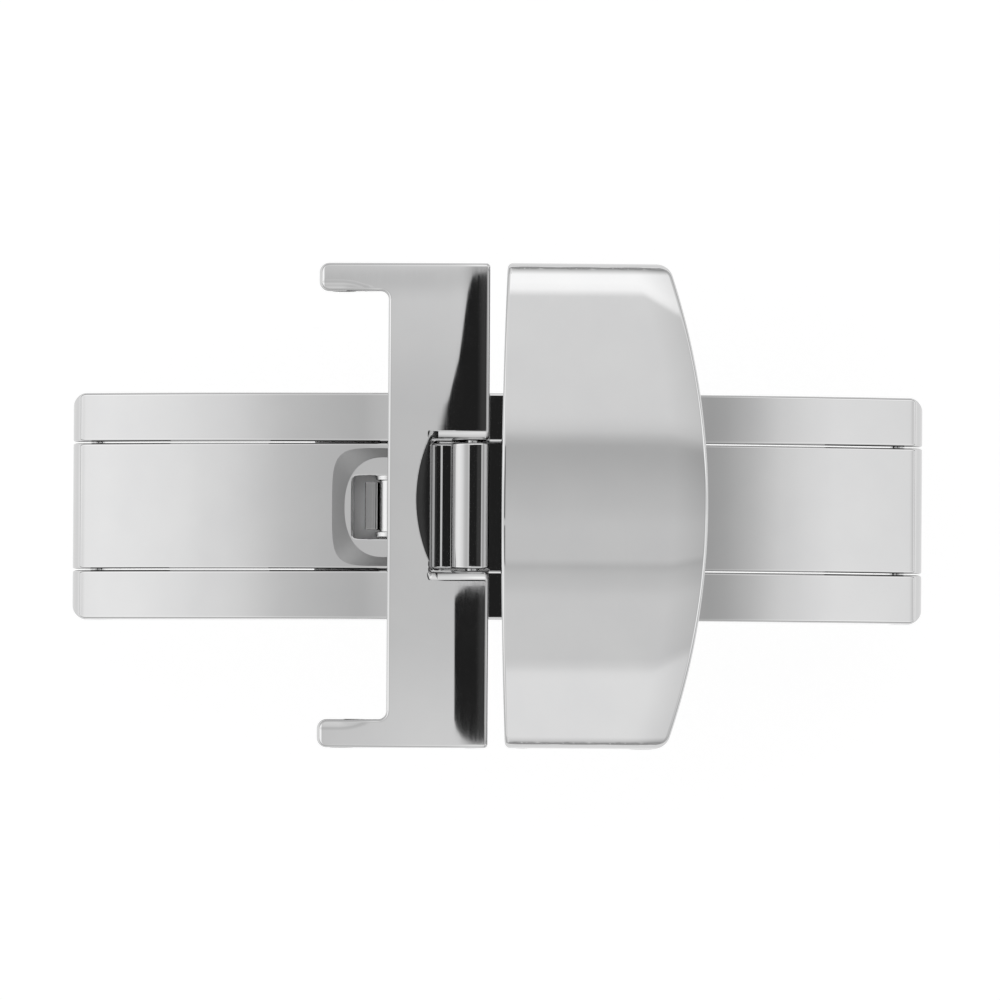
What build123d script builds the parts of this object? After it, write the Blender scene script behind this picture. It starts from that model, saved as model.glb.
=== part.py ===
from build123d import *
import os
from math import asin, atan2, cos, degrees, radians, sin, sqrt, tan

# A butterfly clasp for a leather strap, closed, lying with its wrist side down.
# +X runs along the clasp from the strap link to the cover, +Y runs across the strap,
# +Z points away from the wrist. The origin is under the middle, on the plane that the
# two hinge ends rest on. All lengths are in millimetres.

# Strap and the walls that hold it
strap_width = 18.0
lug_wall = 1.2
bar_hole_diameter = 1.0

# Base frame: two rails joined by a low bridge
clasp_length = 35.9
frame_width = 9.55
frame_thickness = 2.1
frame_mid_radius = 35.0
frame_corner_radius = 0.5
frame_edge_radius = 0.12
bridge_length = 15.2
bridge_thickness = 0.5

# Folding arms
arm_width = 5.35
arm_thickness = 1.05
arm_side_gap = 0.1
neck_fillet_radius = 0.6

# Inner hinges, where the arms carry the strap link and the cover
knuckle_radius = 0.725
inner_axis_x = 1.08
ride_clearance = 0.1
knuckle_side_gap = 0.06

# Pins and tubes
end_pin_radius = 0.3
end_tube_radius = 0.5
inner_pin_radius = 0.27
inner_tube_radius = 0.45
pin_running_gap = 0.02
pin_end_recess = 0.08

# Window of each arm and the dish round it
window_outer_x = 6.13
window_inner_x = 3.25
window_width = 2.66
window_corner_radius = 0.17
dish_outer_x = 6.97
dish_inner_x = 2.95
dish_width = 4.9
dish_corner_radius = 0.4
dish_depth = 0.35
dish_slope_width = 0.5

# Catch roller, its axle and the spring clip that grips it
roller_x = 4.5
roller_axis_depth = 0.68
roller_core_radius = 0.5
roller_flange_radius = 0.68
roller_flange_thickness = 0.21
roller_side_gap = 0.03
catch_pin_radius = 0.2
spring_thickness = 0.12
spring_width = 2.0
spring_grip_gap = 0.03
spring_lip_reach = 1.0
spring_lip_depth = 0.12
rivet_spacing = 1.1
rivet_shank_radius = 0.2
rivet_head_radius = 0.36
rivet_head_height = 0.1

# Strap link, the T-shaped piece
link_body_x = 4.63
link_lug_x = 7.55
link_notch_x = 2.77
link_rise = 1.1
link_turn_x = 2.1
link_turn_slope_degrees = 4.6
link_rear_radius = 90.0
link_front_radius = 14.0
link_nose_radius = 0.3
link_lug_radius = 1.05
link_lug_tip_radius = 0.25
link_lug_corner_radius = 0.34
link_notch_fillet_radius = 0.42
link_edge_radius = 0.1
scallop_radius = 6.5
scallop_reach = 0.63
scallop_depth = 0.08

# Cover
cover_left_x = 0.17
cover_right_x = 8.86
cover_height = 3.9
cover_tilt_degrees = 5.0
cover_crown_radius = 50.0
cover_plate_thickness = 0.9
cover_left_edge_radius = 250.0
cover_right_edge_radius = 31.0
cover_corner_radius = 0.75
cover_wall_x = 7.5
cover_wall_corner_radius = 1.4
cover_bar_x = 6.1
cover_bar_height = 1.4
cover_side_edge_radius = 0.6
cover_front_edge_radius = 0.12

# Length by which every cutter runs past what it cuts
overrun = 1.0


# Values that follow from the driving dimensions
outer_width = strap_width + 2 * lug_wall
frame_top_radius = frame_mid_radius + frame_thickness / 2
frame_bottom_radius = frame_mid_radius - frame_thickness / 2
end_axis_x = (clasp_length - frame_thickness) / 2
arch_centre_z = frame_thickness / 2 - sqrt(frame_mid_radius**2 - end_axis_x**2)
ride_radius = frame_top_radius + ride_clearance
inner_axis_radius = ride_radius + knuckle_radius
notch_width = arm_width + 2 * knuckle_side_gap
roller_length = window_width - 2 * roller_side_gap
end_axis_angle = asin(end_axis_x / frame_mid_radius)
inner_axis_angle = asin(inner_axis_x / inner_axis_radius)
roller_angle = asin(roller_x / (frame_top_radius - roller_axis_depth))


def arch_point(radius, angle):
    """Point of a circle about the arch's centre, in the plane of X and Z."""
    return Vector(radius * sin(angle), arch_centre_z + radius * cos(angle))


def arch_height(radius, x):
    """Height at x of a circle about the arch's centre."""
    return arch_centre_z + sqrt(radius**2 - x**2)


def arch_arc(radius, start, end):
    """Arc about the arch's centre between two angles."""
    middle = (start + end) / 2
    return ThreePointArc(arch_point(radius, start), arch_point(radius, middle), arch_point(radius, end))


def arch_band(inner, outer, start, end):
    """Curved strip between two radii and two angles of the arch."""
    outer_arc = arch_arc(outer, start, end)
    inner_arc = arch_arc(inner, start, end)
    sides = [Line(outer_arc @ 0, inner_arc @ 0), Line(outer_arc @ 1, inner_arc @ 1)]
    return make_face([outer_arc, inner_arc] + sides)


def across(face, width):
    """Solid of a side view, centred across the clasp."""
    return Pos(0, -width / 2, 0) * extrude(Plane.XZ * face, amount=width, dir=(0, 1, 0))


def upright(face, bottom, top):
    """Solid of a plan view between two heights."""
    return Pos(0, 0, bottom) * extrude(face, amount=top - bottom, dir=(0, 0, 1))


def block(x0, x1, width, z0, z1):
    """Box centred across the clasp."""
    return Pos((x0 + x1) / 2, 0, (z0 + z1) / 2) * Box(x1 - x0, width, z1 - z0)


def crosswise_rod(point, radius, length):
    """Round bar across the clasp, its axis through a point of the side view."""
    return Pos(point.X, 0, point.Y) * Rot(X=90) * Cylinder(radius, length)


def disc(point, radius):
    """Round face of the side view."""
    return Pos(point.X, point.Y) * Circle(radius)


def eased(solid, radius):
    """The same solid with all of its edges rounded."""
    return fillet(solid.edges(), radius)


def mirrored(shape):
    """The same piece on the other half of the clasp."""
    return mirror(shape, about=Plane.YZ)


end_axis = arch_point(frame_mid_radius, -end_axis_angle)
inner_axis = arch_point(inner_axis_radius, -inner_axis_angle)
roller_axis = arch_point(frame_top_radius - roller_axis_depth, -roller_angle)
top_of_everything = arch_height(frame_top_radius, 0) + cover_height + overrun
catch_frame = Plane(
    origin=(roller_axis.X, 0, roller_axis.Y),
    x_dir=(cos(roller_angle), 0, sin(roller_angle)),
    z_dir=(-sin(roller_angle), 0, cos(roller_angle)),
)


def make_base_frame():
    """Two rails with round hinge ends, joined by the low bridge under the arms."""
    side = arch_band(frame_bottom_radius, frame_top_radius, -end_axis_angle, end_axis_angle)
    side += disc(end_axis, frame_thickness / 2)
    side += disc(Vector(-end_axis.X, end_axis.Y), frame_thickness / 2)
    plan = RectangleRounded(clasp_length, frame_width, frame_corner_radius)
    frame = eased(across(side, frame_width), frame_edge_radius)
    frame &= upright(plan, -overrun, top_of_everything)
    slot_width = arm_width + 2 * arm_side_gap
    bridge_angle = asin(bridge_length / 2 / frame_bottom_radius)
    cut_angle = end_axis_angle + overrun / frame_mid_radius * 2
    slot_floor = frame_bottom_radius + bridge_thickness
    slot_top = frame_top_radius + overrun
    frame -= across(arch_band(slot_floor, slot_top, -cut_angle, cut_angle), slot_width)
    low = frame_bottom_radius - overrun
    slot = across(arch_band(low, slot_top, -cut_angle, -bridge_angle), slot_width)
    holes = [rivet_at(place, rivet_shank_radius, 2 * frame_thickness) for place in rivet_places()]
    cutters = [slot, crosswise_rod(end_axis, end_pin_radius, frame_width + overrun)] + holes
    for cutter in cutters:
        frame -= cutter
        frame -= mirrored(cutter)
    return frame


def rivet_places():
    """Places across the clasp of the two rivets of one spring clip."""
    return (-rivet_spacing / 2, rivet_spacing / 2)


def rivet_at(place, radius, height):
    """Upright round bar through the bridge, centred on the bridge's thickness."""
    depth = frame_thickness - bridge_thickness / 2 - roller_axis_depth
    return catch_frame * Pos(0, place, -depth) * Cylinder(radius, height)


def make_left_arm():
    """Leaf with a barrel at each end, a window and a dish round the window."""
    under = frame_top_radius - arm_thickness
    side = arch_band(under, frame_top_radius, -end_axis_angle, -inner_axis_angle)
    side += disc(end_axis, frame_thickness / 2)
    side += disc(inner_axis, knuckle_radius)
    neck_left = inner_axis.X - knuckle_radius - neck_fillet_radius
    neck_right = inner_axis.X + knuckle_radius
    arm_top = arch_height(frame_top_radius, inner_axis.X)
    neck_bottom = arch_height(under, neck_right)
    neck_size = (neck_right - neck_left, inner_axis.Y - neck_bottom)
    neck = Pos((neck_left + neck_right) / 2, (inner_axis.Y + neck_bottom) / 2) * Rectangle(*neck_size)
    hollow = Vector(neck_left, arch_height(frame_top_radius, neck_left) + neck_fillet_radius)
    neck -= disc(hollow, neck_fillet_radius)
    above = Rectangle(2 * neck_fillet_radius, 2 * neck_fillet_radius)
    neck -= Pos(neck_left, hollow.Y + neck_fillet_radius) * above
    side += neck
    arm = across(side, arm_width)
    arm -= dish_cutter()
    arm -= window_cutter()
    arm -= crosswise_rod(end_axis, end_tube_radius, arm_width + overrun)
    arm -= crosswise_rod(inner_axis, inner_tube_radius, arm_width + overrun)
    arm -= crosswise_rod(roller_axis, catch_pin_radius, arm_width + overrun)
    return arm


def along_arm(x):
    """Distance along the catch's own frame for a place given in x."""
    return (x - roller_x) / cos(roller_angle)


def window_cutter():
    """Upright prism of the window."""
    outer, inner = along_arm(window_outer_x), along_arm(window_inner_x)
    plan = RectangleRounded(outer - inner, window_width, window_corner_radius)
    prism = extrude(plan, 2 * frame_thickness)
    return catch_frame * Pos(-(outer + inner) / 2, 0, -frame_thickness) * prism


def dish_cutter():
    """Sunken field round the window, with sloping walls."""
    outer, inner = along_arm(dish_outer_x), along_arm(dish_inner_x)
    floor = RectangleRounded(
        outer - inner - 2 * dish_slope_width,
        dish_width - 2 * dish_slope_width,
        dish_corner_radius,
    )
    rim = RectangleRounded(outer - inner, dish_width, dish_corner_radius)
    rise = dish_depth
    walls = loft([floor, Pos(0, 0, rise) * rim])
    above = Pos(0, 0, rise) * extrude(rim, dish_depth)
    lift = roller_axis_depth - dish_depth
    return catch_frame * Pos(-(outer + inner) / 2, 0, lift) * (walls + above)


def make_hinge_tube(axis, outer_radius, pin_radius, length):
    """Sleeve pressed into an arm's barrel, in which the pin turns."""
    tube = crosswise_rod(axis, outer_radius, length)
    return tube - crosswise_rod(axis, pin_radius + pin_running_gap, length + overrun)


def make_roller():
    """Spool with a thin flange at each end."""
    roller = crosswise_rod(roller_axis, roller_core_radius, roller_length)
    flange = crosswise_rod(roller_axis, roller_flange_radius, roller_flange_thickness)
    shift = (roller_length - roller_flange_thickness) / 2
    roller += Pos(0, shift, 0) * flange
    roller += Pos(0, -shift, 0) * flange
    return roller - crosswise_rod(roller_axis, catch_pin_radius + pin_running_gap, window_width)


def strip_run(start, end):
    """Straight run of the spring strip, seen from the side, with round ends."""
    along = end - start
    run = SlotCenterToCenter(along.length, spring_thickness)
    return Pos((start + end) * 0.5) * Rot(Z=degrees(atan2(along.Y, along.X))) * run


def make_spring():
    """U-shaped leaf clip: a flat foot on the bridge and two lips round the roller."""
    foot = frame_thickness - bridge_thickness - roller_axis_depth - spring_thickness / 2
    grip = roller_core_radius + spring_grip_gap + spring_thickness / 2
    lip = roller_axis_depth - spring_lip_depth
    pinch = grip * cos(radians(45))
    waist = grip * tan(radians(45) / 2)
    route = [
        (-spring_lip_reach, lip),
        (-pinch, pinch),
        (-grip, waist),
        (-grip, -foot),
        (grip, -foot),
        (grip, waist),
        (pinch, pinch),
        (spring_lip_reach, lip),
    ]
    strip = Sketch()
    for start, end in zip(route, route[1:]):
        strip += strip_run(Vector(*start), Vector(*end))
    side = Plane(origin=catch_frame.origin, x_dir=catch_frame.x_dir, z_dir=(0, -1, 0))
    spring = Pos(0, -spring_width / 2, 0) * extrude(side * strip, amount=spring_width, dir=(0, 1, 0))
    for place in rivet_places():
        spring -= rivet_at(place, rivet_shank_radius, 2 * frame_thickness)
    return spring


def make_rivets():
    """Four flat rivets that hold the two clips on the bridge."""
    foot_top = frame_thickness - bridge_thickness - roller_axis_depth - spring_thickness
    bottom = frame_thickness - roller_axis_depth
    rivets = []
    for place in rivet_places():
        shank = Pos(0, place, -(foot_top + bottom) / 2) * Cylinder(rivet_shank_radius, bottom - foot_top)
        head = Pos(0, place, rivet_head_height / 2 - foot_top)
        head *= Cylinder(rivet_head_radius, rivet_head_height)
        rivet = catch_frame * (shank + head)
        rivets += [rivet, mirrored(rivet)]
    return Compound(children=rivets)


def link_top_height(x):
    """Height of the strap link's top: a long gentle rise, then a short curve to its front."""
    slope = radians(link_turn_slope_degrees)
    front_z = inner_axis.Y + link_rise - link_front_radius
    if x > -link_turn_x:
        front_x = link_front_radius * sin(slope) - link_turn_x
        return front_z + sqrt(link_front_radius**2 - (x - front_x) ** 2)
    rear_x = link_rear_radius * sin(slope) - link_turn_x
    rear_z = front_z + (link_front_radius - link_rear_radius) * cos(slope)
    return rear_z + sqrt(link_rear_radius**2 - (x - rear_x) ** 2)


def link_top_point(x):
    """Point of the strap link's top, in the side view."""
    return Vector(x, link_top_height(x))


def link_bar_axis():
    """Axis of the strap link's strap bar holes, in the side view."""
    bar_x = link_lug_radius - link_lug_x
    return Vector(bar_x, link_top_height(bar_x) - link_lug_radius)


def make_strap_link():
    """T-shaped piece with two lugs, a notch for the arm's barrel and a nearly level front."""
    bar = link_bar_axis()
    nose = Vector(inner_axis.X + knuckle_radius, inner_axis.Y)
    corner = link_top_point(nose.X)
    turn = link_top_point(-link_turn_x)
    tip = link_top_point(-link_lug_x)
    rear_middle = link_top_point((tip.X + turn.X) / 2)
    front_middle = link_top_point((turn.X + corner.X) / 2)
    seat = arch_point(ride_radius, -inner_axis_angle)
    under_nose = inner_axis + Vector(cos(radians(45)), -sin(radians(45))) * knuckle_radius
    body_angle = asin(link_body_x / ride_radius)
    underside = arch_arc(ride_radius, -inner_axis_angle, -body_angle)
    low_end = bar - Vector(0, link_lug_radius)
    low_tip = Vector(tip.X, bar.Y)
    heel = bar - Vector(cos(radians(45)), sin(radians(45))) * link_lug_radius
    outline = [
        Line(corner, nose),
        ThreePointArc(nose, under_nose, seat),
        underside,
        Line(underside @ 1, low_end),
        ThreePointArc(low_end, heel, low_tip),
        Line(low_tip, tip),
        ThreePointArc(tip, rear_middle, turn),
        ThreePointArc(turn, front_middle, corner),
    ]
    side = make_face(outline)
    for place, radius in ((corner, link_nose_radius), (tip, link_lug_tip_radius)):
        nearest = side.vertices().sort_by_distance((place.X, place.Y))[0]
        side = fillet(nearest, radius)
    blank = eased(across(side, outer_width), link_edge_radius)
    link = blank & upright(link_plan(), -overrun, top_of_everything)
    cheek_edges = [e for e in link.edges() if is_cheek_edge(e)]
    link = fillet(cheek_edges, link_notch_fillet_radius)
    link -= scallop_cutter()
    link -= crosswise_rod(inner_axis, inner_pin_radius, outer_width + overrun)
    link -= crosswise_rod(bar, bar_hole_diameter / 2, outer_width + overrun)
    return link


def is_cheek_edge(edge):
    """True for the long upper edges of the strap link's notch."""
    middle = edge @ 0.5
    beside_notch = abs(abs(middle.Y) - notch_width / 2) < knuckle_side_gap
    ends = edge.vertices()
    upright_edge = abs(ends[0].X - ends[-1].X) < knuckle_side_gap
    return beside_notch and middle.Z > inner_axis.Y and not upright_edge


def link_plan():
    """Plan view of the strap link, with rounded lugs and the notch."""
    right = inner_axis_x - knuckle_radius - overrun
    length = link_lug_x - right
    plan = Pos(-(link_lug_x + right) / 2, 0) * Rectangle(length, outer_width)
    strap = Rectangle(2 * (link_lug_x - link_body_x), strap_width)
    plan -= Pos(-link_lug_x, 0) * strap
    notch_length = link_notch_x - right + overrun
    notch = Pos(-link_notch_x + notch_length / 2, 0) * Rectangle(notch_length, notch_width)
    plan -= notch
    corners = [v for v in plan.vertices() if v.X < -link_body_x + overrun]
    return fillet(corners, link_lug_corner_radius)


def scallop_cutter():
    """Part of a disc that sinks the link's top in front of the notch to a level floor."""
    middle_x = scallop_radius - scallop_reach - link_notch_x
    floor = link_top_height(-link_notch_x - scallop_reach) - scallop_depth
    cutter = Cylinder(scallop_radius, overrun, align=(Align.CENTER, Align.CENTER, Align.MIN))
    room = block(-link_body_x, -link_notch_x + overrun, notch_width, floor, floor + overrun)
    return (Pos(middle_x, 0, floor) * cutter) & room


def crown_solid(drop):
    """Everything below the cover's curved top, lowered by a given depth."""
    radius = cover_crown_radius - drop
    half = outer_width / 2
    shoulder = sqrt(radius**2 - half**2) - radius
    edges = [
        ThreePointArc((-half, shoulder), (0, 0), (half, shoulder)),
        Line((half, shoulder), (half, -half)),
        Line((half, -half), (-half, -half)),
        Line((-half, -half), (-half, shoulder)),
    ]
    view = make_face(edges)
    shoulders = [v for v in view.vertices() if v.Y > -half / 2]
    profile = Plane.YZ * fillet(shoulders, cover_side_edge_radius)
    length = cover_right_x - cover_left_x + 2 * outer_width
    solid = Pos(-outer_width, 0, -drop) * extrude(profile, amount=length, dir=(1, 0, 0))
    height = arch_height(frame_top_radius, 0) + cover_height
    return Pos(cover_left_x, 0, height) * Rot(Y=cover_tilt_degrees) * solid


def cover_plan():
    """Plan view of the cover, with two bowed edges and rounded corners."""
    half = outer_width / 2
    left_side = cover_left_x + cover_left_edge_radius - sqrt(cover_left_edge_radius**2 - half**2)
    right_side = cover_right_x - cover_right_edge_radius + sqrt(cover_right_edge_radius**2 - half**2)
    edges = [
        ThreePointArc((left_side, -half), (cover_left_x, 0), (left_side, half)),
        Line((left_side, half), (right_side, half)),
        ThreePointArc((right_side, half), (cover_right_x, 0), (right_side, -half)),
        Line((right_side, -half), (left_side, -half)),
    ]
    plan = make_face(edges)
    middle = (left_side + right_side) / 2
    right = [v for v in plan.vertices() if v.X > middle]
    return fillet(right, cover_corner_radius)


def cover_axis():
    """Axis of the cover's hinge, in the side view."""
    return Vector(-inner_axis.X, inner_axis.Y)


def cover_bar_axis():
    """Axis of the cover's strap bar holes, in the side view."""
    return Vector(cover_bar_x, arch_height(frame_top_radius, cover_bar_x) + cover_bar_height)


def is_front_edge(edge):
    """True for the top edge of the cover's front, with its two rounded shoulders."""
    ends = edge.vertices()
    close = all(v.X < cover_left_x + cover_side_edge_radius for v in ends)
    high = (edge @ 0.5).Z > arch_height(frame_top_radius, 0) + cover_height / 2
    return close and high and abs(ends[0].Y - ends[-1].Y) > cover_front_edge_radius


def make_cover():
    """Wide plate with a hinge block and two side walls that hold the strap."""
    axis = cover_axis()
    top = top_of_everything + overrun
    wall_angle = asin(cover_wall_x / ride_radius)
    seat = arch_point(ride_radius, inner_axis_angle)
    underside = arch_arc(ride_radius, inner_axis_angle, wall_angle)
    reach = axis.X - cover_left_x
    swing = (reach + knuckle_radius) / 2
    heel = axis - Vector(cos(radians(45)), sin(radians(45))) * swing
    front = Vector(cover_left_x - overrun, axis.Y)
    front_foot = Vector(cover_left_x, axis.Y)
    wall_end = underside @ 1
    outline = [
        ThreePointArc(front_foot, heel, seat),
        underside,
        Line(wall_end, (cover_wall_x, top)),
        Line((cover_wall_x, top), (front.X, top)),
        Line((front.X, top), front),
        Line(front, front_foot),
    ]
    side = make_face(outline)
    low_corner = side.vertices().sort_by_distance((wall_end.X, wall_end.Y))[0]
    side = fillet(low_corner, cover_wall_corner_radius)
    walls = across(side, outer_width)
    plan = upright(cover_plan(), -overrun, top)
    walls &= plan
    block_right = axis.X + knuckle_radius
    cavity = crown_solid(cover_plate_thickness)
    cavity &= block(block_right, cover_right_x + overrun, strap_width, -overrun, top)
    plate = plan & block(block_right, cover_right_x + overrun, outer_width + overrun, -overrun, top)
    plate -= crown_solid(cover_plate_thickness)
    cover = (walls - cavity + plate) & crown_solid(0)
    front_edges = [e for e in cover.edges() if is_front_edge(e)]
    cover = fillet(front_edges, cover_front_edge_radius)
    pocket_top = axis.Y + knuckle_radius + ride_clearance
    cover -= block(cover_left_x - overrun, block_right + overrun, notch_width, -overrun, pocket_top)
    cover -= crosswise_rod(axis, inner_pin_radius, outer_width + overrun)
    cover -= crosswise_rod(cover_bar_axis(), bar_hole_diameter / 2, outer_width + overrun)
    return cover


def export_pair(shape, name):
    """Write a piece of the left half and its mirror image of the right half."""
    export_step(shape, f"parts/left_{name}.step")
    export_step(mirrored(shape), f"parts/right_{name}.step")


def main():
    os.makedirs("parts", exist_ok=True)
    export_step(make_base_frame(), "parts/base_frame.step")
    export_pair(make_left_arm(), "arm")
    export_pair(crosswise_rod(end_axis, end_pin_radius, frame_width - 2 * pin_end_recess), "hinge_pin")
    export_pair(make_hinge_tube(end_axis, end_tube_radius, end_pin_radius, arm_width), "hinge_tube")
    export_pair(make_roller(), "catch_roller")
    export_pair(crosswise_rod(roller_axis, catch_pin_radius, arm_width), "catch_pin")
    export_pair(make_spring(), "catch_spring")
    export_step(make_rivets(), "parts/catch_spring_rivets.step")
    inner_pin = crosswise_rod(inner_axis, inner_pin_radius, outer_width - 2 * pin_end_recess)
    inner_tube = make_hinge_tube(inner_axis, inner_tube_radius, inner_pin_radius, arm_width)
    export_step(make_strap_link(), "parts/strap_link.step")
    export_step(inner_pin, "parts/strap_link_pin.step")
    export_step(inner_tube, "parts/strap_link_tube.step")
    export_step(make_cover(), "parts/cover.step")
    export_step(mirrored(inner_pin), "parts/cover_pin.step")
    export_step(mirrored(inner_tube), "parts/cover_tube.step")


main()
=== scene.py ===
from math import acos, asin, atan2, ceil, cos, hypot, pi, radians, sin, sqrt, tan

import bmesh
import bpy
from mathutils import Matrix, Vector
from mathutils.geometry import delaunay_2d_cdt


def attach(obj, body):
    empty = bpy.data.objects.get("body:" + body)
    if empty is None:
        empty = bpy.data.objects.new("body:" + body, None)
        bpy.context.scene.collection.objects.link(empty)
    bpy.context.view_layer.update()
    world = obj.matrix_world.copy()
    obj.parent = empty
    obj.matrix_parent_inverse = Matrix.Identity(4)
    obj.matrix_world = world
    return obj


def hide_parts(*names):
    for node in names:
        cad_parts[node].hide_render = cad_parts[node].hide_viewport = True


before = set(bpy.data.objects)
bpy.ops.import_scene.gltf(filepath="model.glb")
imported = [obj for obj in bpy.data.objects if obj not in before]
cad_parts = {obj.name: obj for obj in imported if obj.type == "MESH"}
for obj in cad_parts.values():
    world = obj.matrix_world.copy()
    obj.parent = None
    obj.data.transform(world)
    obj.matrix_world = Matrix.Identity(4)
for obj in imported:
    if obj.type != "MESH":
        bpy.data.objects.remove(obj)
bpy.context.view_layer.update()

# A closed butterfly clasp: x from the strap link to the cover, y across the strap, z outward.
# Lengths are in millimetres, most of them repeated from the CAD source. Meshes are made in metres.
MM = 0.001
HAIR = 0.0005  # core radius that closes a turned piece on its axis

# The arch in the side view: base frame, and what lies on it.
HALF_WIDTH = 10.2
STRAP_HALF = 9.0
CLASP_HALF = 17.95
MID_RADIUS = 35.0
THICK = 2.1
TOP_RADIUS = MID_RADIUS + THICK / 2
LOW_RADIUS = MID_RADIUS - THICK / 2
RIDE_RADIUS = TOP_RADIUS + 0.1
END_X = 16.9
CENTRE_Z = THICK / 2 - sqrt(MID_RADIUS**2 - END_X**2)
END_ANGLE = asin(END_X / MID_RADIUS)

# Widths from the middle line: arms, gap beside them, notches of link and cover, frame.
ARM_HALF = 2.65
SLOT_HALF = 2.71
NOTCH_HALF = 2.735
FRAME_HALF = 4.775

# Hinges and catch.
KNUCKLE = 0.725
INNER_X = 1.08
ROLLER_X = 4.5
ROLLER_DEPTH = 0.68
INNER_ANGLE = asin(INNER_X / (RIDE_RADIUS + KNUCKLE))
ROLLER_ANGLE = asin(ROLLER_X / (TOP_RADIUS - ROLLER_DEPTH))
END_PIN_R = 0.3
END_TUBE_R = 0.5
INNER_PIN_R = 0.27
INNER_TUBE_R = 0.45
ROLLER_PIN_R = 0.2
PIN_PLAY = 0.02
PIN_SHORT = 0.08  # what a pin's end stays below the outer face
BAR_HOLE_R = 0.5
RIVET_Y = 0.55
RIVET_R = 0.2


# ---------------------------------------------------------------- side view
def arch(radius, angle):
    """Point of an arch, by its angle from the vertical."""
    return (radius * sin(angle), CENTRE_Z + radius * cos(angle))


def arch_z(radius, x):
    return CENTRE_Z + sqrt(radius**2 - x**2)


# Axes on the left side: outer hinge, inner hinge, catch roller.
END = arch(MID_RADIUS, -END_ANGLE)
INNER = arch(RIDE_RADIUS + KNUCKLE, -INNER_ANGLE)
ROLLER = arch(TOP_RADIUS - ROLLER_DEPTH, -ROLLER_ANGLE)


def on_side(point, sign):
    """A point of the left side, or its mirror image when sign is 1."""
    return (-sign * point[0], point[1])


def arc(centre, radius, start, end, step=0.06):
    """Points of an arc, angles in radians, ends included."""
    n = max(3, ceil(abs(end - start) / max(step / radius, 0.02)))
    angles = [start + (end - start) * i / n for i in range(n + 1)]
    return [(centre[0] + radius * cos(t), centre[1] + radius * sin(t)) for t in angles]


def arch_run(radius, start, end, step=0.25):
    """Points along the arch between two angles from the vertical."""
    n = max(2, ceil(abs(end - start) * radius / step))
    return [arch(radius, start + (end - start) * i / n) for i in range(n + 1)]


# ---------------------------------------------------------------- lines
def rounded(points, radii, step=0.2, closed=True):
    """Polygon with its corners rounded and its long sides divided."""
    out = []
    n = len(points)
    for i, (p, r) in enumerate(zip(points, radii)):
        p = Vector(p)
        if not closed and i in (0, n - 1):
            out.append(tuple(p))
            continue
        a, b = Vector(points[i - 1]) - p, Vector(points[(i + 1) % n]) - p
        a.normalize()
        b.normalize()
        bend = acos(max(-1, min(1, a.dot(b))))
        if r <= 0 or bend > pi - 1e-4:
            out.append(tuple(p))
            continue
        run = r / tan(bend / 2)
        centre = p + (a + b).normalized() * (r / sin(bend / 2))
        start, end = p + a * run - centre, p + b * run - centre
        t0, t1 = atan2(start.y, start.x), atan2(end.y, end.x)
        turn = (t1 - t0 + pi) % (2 * pi) - pi
        m = max(3, ceil(abs(turn) / radians(9)))
        angles = [t0 + turn * k / m for k in range(m + 1)]
        out += [(centre.x + r * cos(t), centre.y + r * sin(t)) for t in angles]
    return divided(out, step, closed)


def divided(points, step, closed=True):
    """The same line with its long sides divided."""
    out = []
    for i, p in enumerate(points):
        out.append(tuple(p))
        if i == len(points) - 1 and not closed:
            break
        q = points[(i + 1) % len(points)]
        n = ceil(hypot(q[0] - p[0], q[1] - p[1]) / step)
        out += [(p[0] + (q[0] - p[0]) * k / n, p[1] + (q[1] - p[1]) * k / n) for k in range(1, n)]
    return out


def spaced(points, least):
    """Open line without doubled points."""
    out = []
    for p in points:
        if not out or hypot(p[0] - out[-1][0], p[1] - out[-1][1]) > least:
            out.append(p)
    return out


def cleaned(points, least=1e-5):
    """Closed line without doubled points, running anticlockwise."""
    out = spaced(points, least)
    if hypot(out[0][0] - out[-1][0], out[0][1] - out[-1][1]) <= least:
        out.pop()
    area = sum(p[0] * q[1] - q[0] * p[1] for p, q in zip(out, out[1:] + out[:1]))
    return out if area > 0 else out[::-1]


def outward(points):
    """Outward normals of a closed anticlockwise line, lengthened at its corners."""
    out = []
    n = len(points)
    for i in range(n):
        a, p, b = Vector(points[i - 1]), Vector(points[i]), Vector(points[(i + 1) % n])
        before, after = (p - a).normalized(), (b - p).normalized()
        normal = Vector((before.y + after.y, -before.x - after.x))
        normal.normalize()
        out.append(normal * (1 / max(0.6, normal.dot(Vector((after.y, -after.x))))))
    return out


def lines(*spans):
    """Grid lines from spans of start, end and step."""
    out = []
    for a, b, step in spans:
        n = max(1, round((b - a) / step))
        out += [a + (b - a) * k / n for k in range(n)]
    return out + [spans[-1][1]]


def both_sides(xs, ys):
    """Grid points for the rows ys, which start at the middle line, and their mirror images."""
    return [(x, y) for x in xs for y in ys] + [(x, -y) for x in xs for y in ys[1:]]


# ---------------------------------------------------------------- meshes
def build(name, verts, faces):
    """Smooth mesh object from millimetres."""
    me = bpy.data.meshes.new(name)
    me.from_pydata([(x * MM, y * MM, z * MM) for x, y, z in verts], [], faces)
    me.validate()
    ob = bpy.data.objects.new(name, me)
    bpy.context.scene.collection.objects.link(ob)
    finish_mesh(ob)
    return ob


def finish_mesh(ob, sharp=32):
    """Smooth faces, with sharp edges above an angle."""
    me = ob.data
    me.polygons.foreach_set("use_smooth", [True] * len(me.polygons))
    me.set_sharp_from_angle(angle=radians(sharp))
    me.update()


def weigh(ob):
    """Normals led by the large faces, so that flats stay flat beside their rounded edges."""
    mod = ob.modifiers.new("weighted_normals", "WEIGHTED_NORMAL")
    mod.mode = "FACE_AREA"
    mod.keep_sharp = True


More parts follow.
